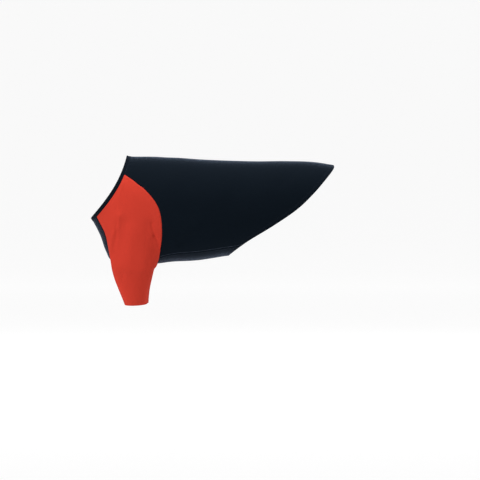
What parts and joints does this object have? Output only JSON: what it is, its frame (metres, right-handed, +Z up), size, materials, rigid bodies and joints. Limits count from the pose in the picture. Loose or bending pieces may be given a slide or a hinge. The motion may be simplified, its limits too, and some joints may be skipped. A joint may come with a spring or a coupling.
{
  "type": "dog t-shirt",
  "caption": "Short-sleeved raglan T-shirt for a large dog, navy body with red front sleeves, open neck, belly and tail end, in its worn form.",
  "frame": {"origin": "on the inner face of the back panel above the wearer's withers, in the plane of symmetry", "axes": "+X towards the tail along the wearer's back, +Y to the wearer's right, +Z up"},
  "size_m": [0.6562, 0.2243, 0.405],
  "materials": {
    "navy_jersey": "matt",
    "red_jersey": "matt",
    "navy_rib": "matt"
  },
  "bodies": {
    "root": {"back_panel": "navy_jersey", "belly_panel": "navy_jersey", "sleeve_left": "red_jersey", "sleeve_right": "red_jersey", "neck_band": "navy_rib"}
  },
  "joints": []
}
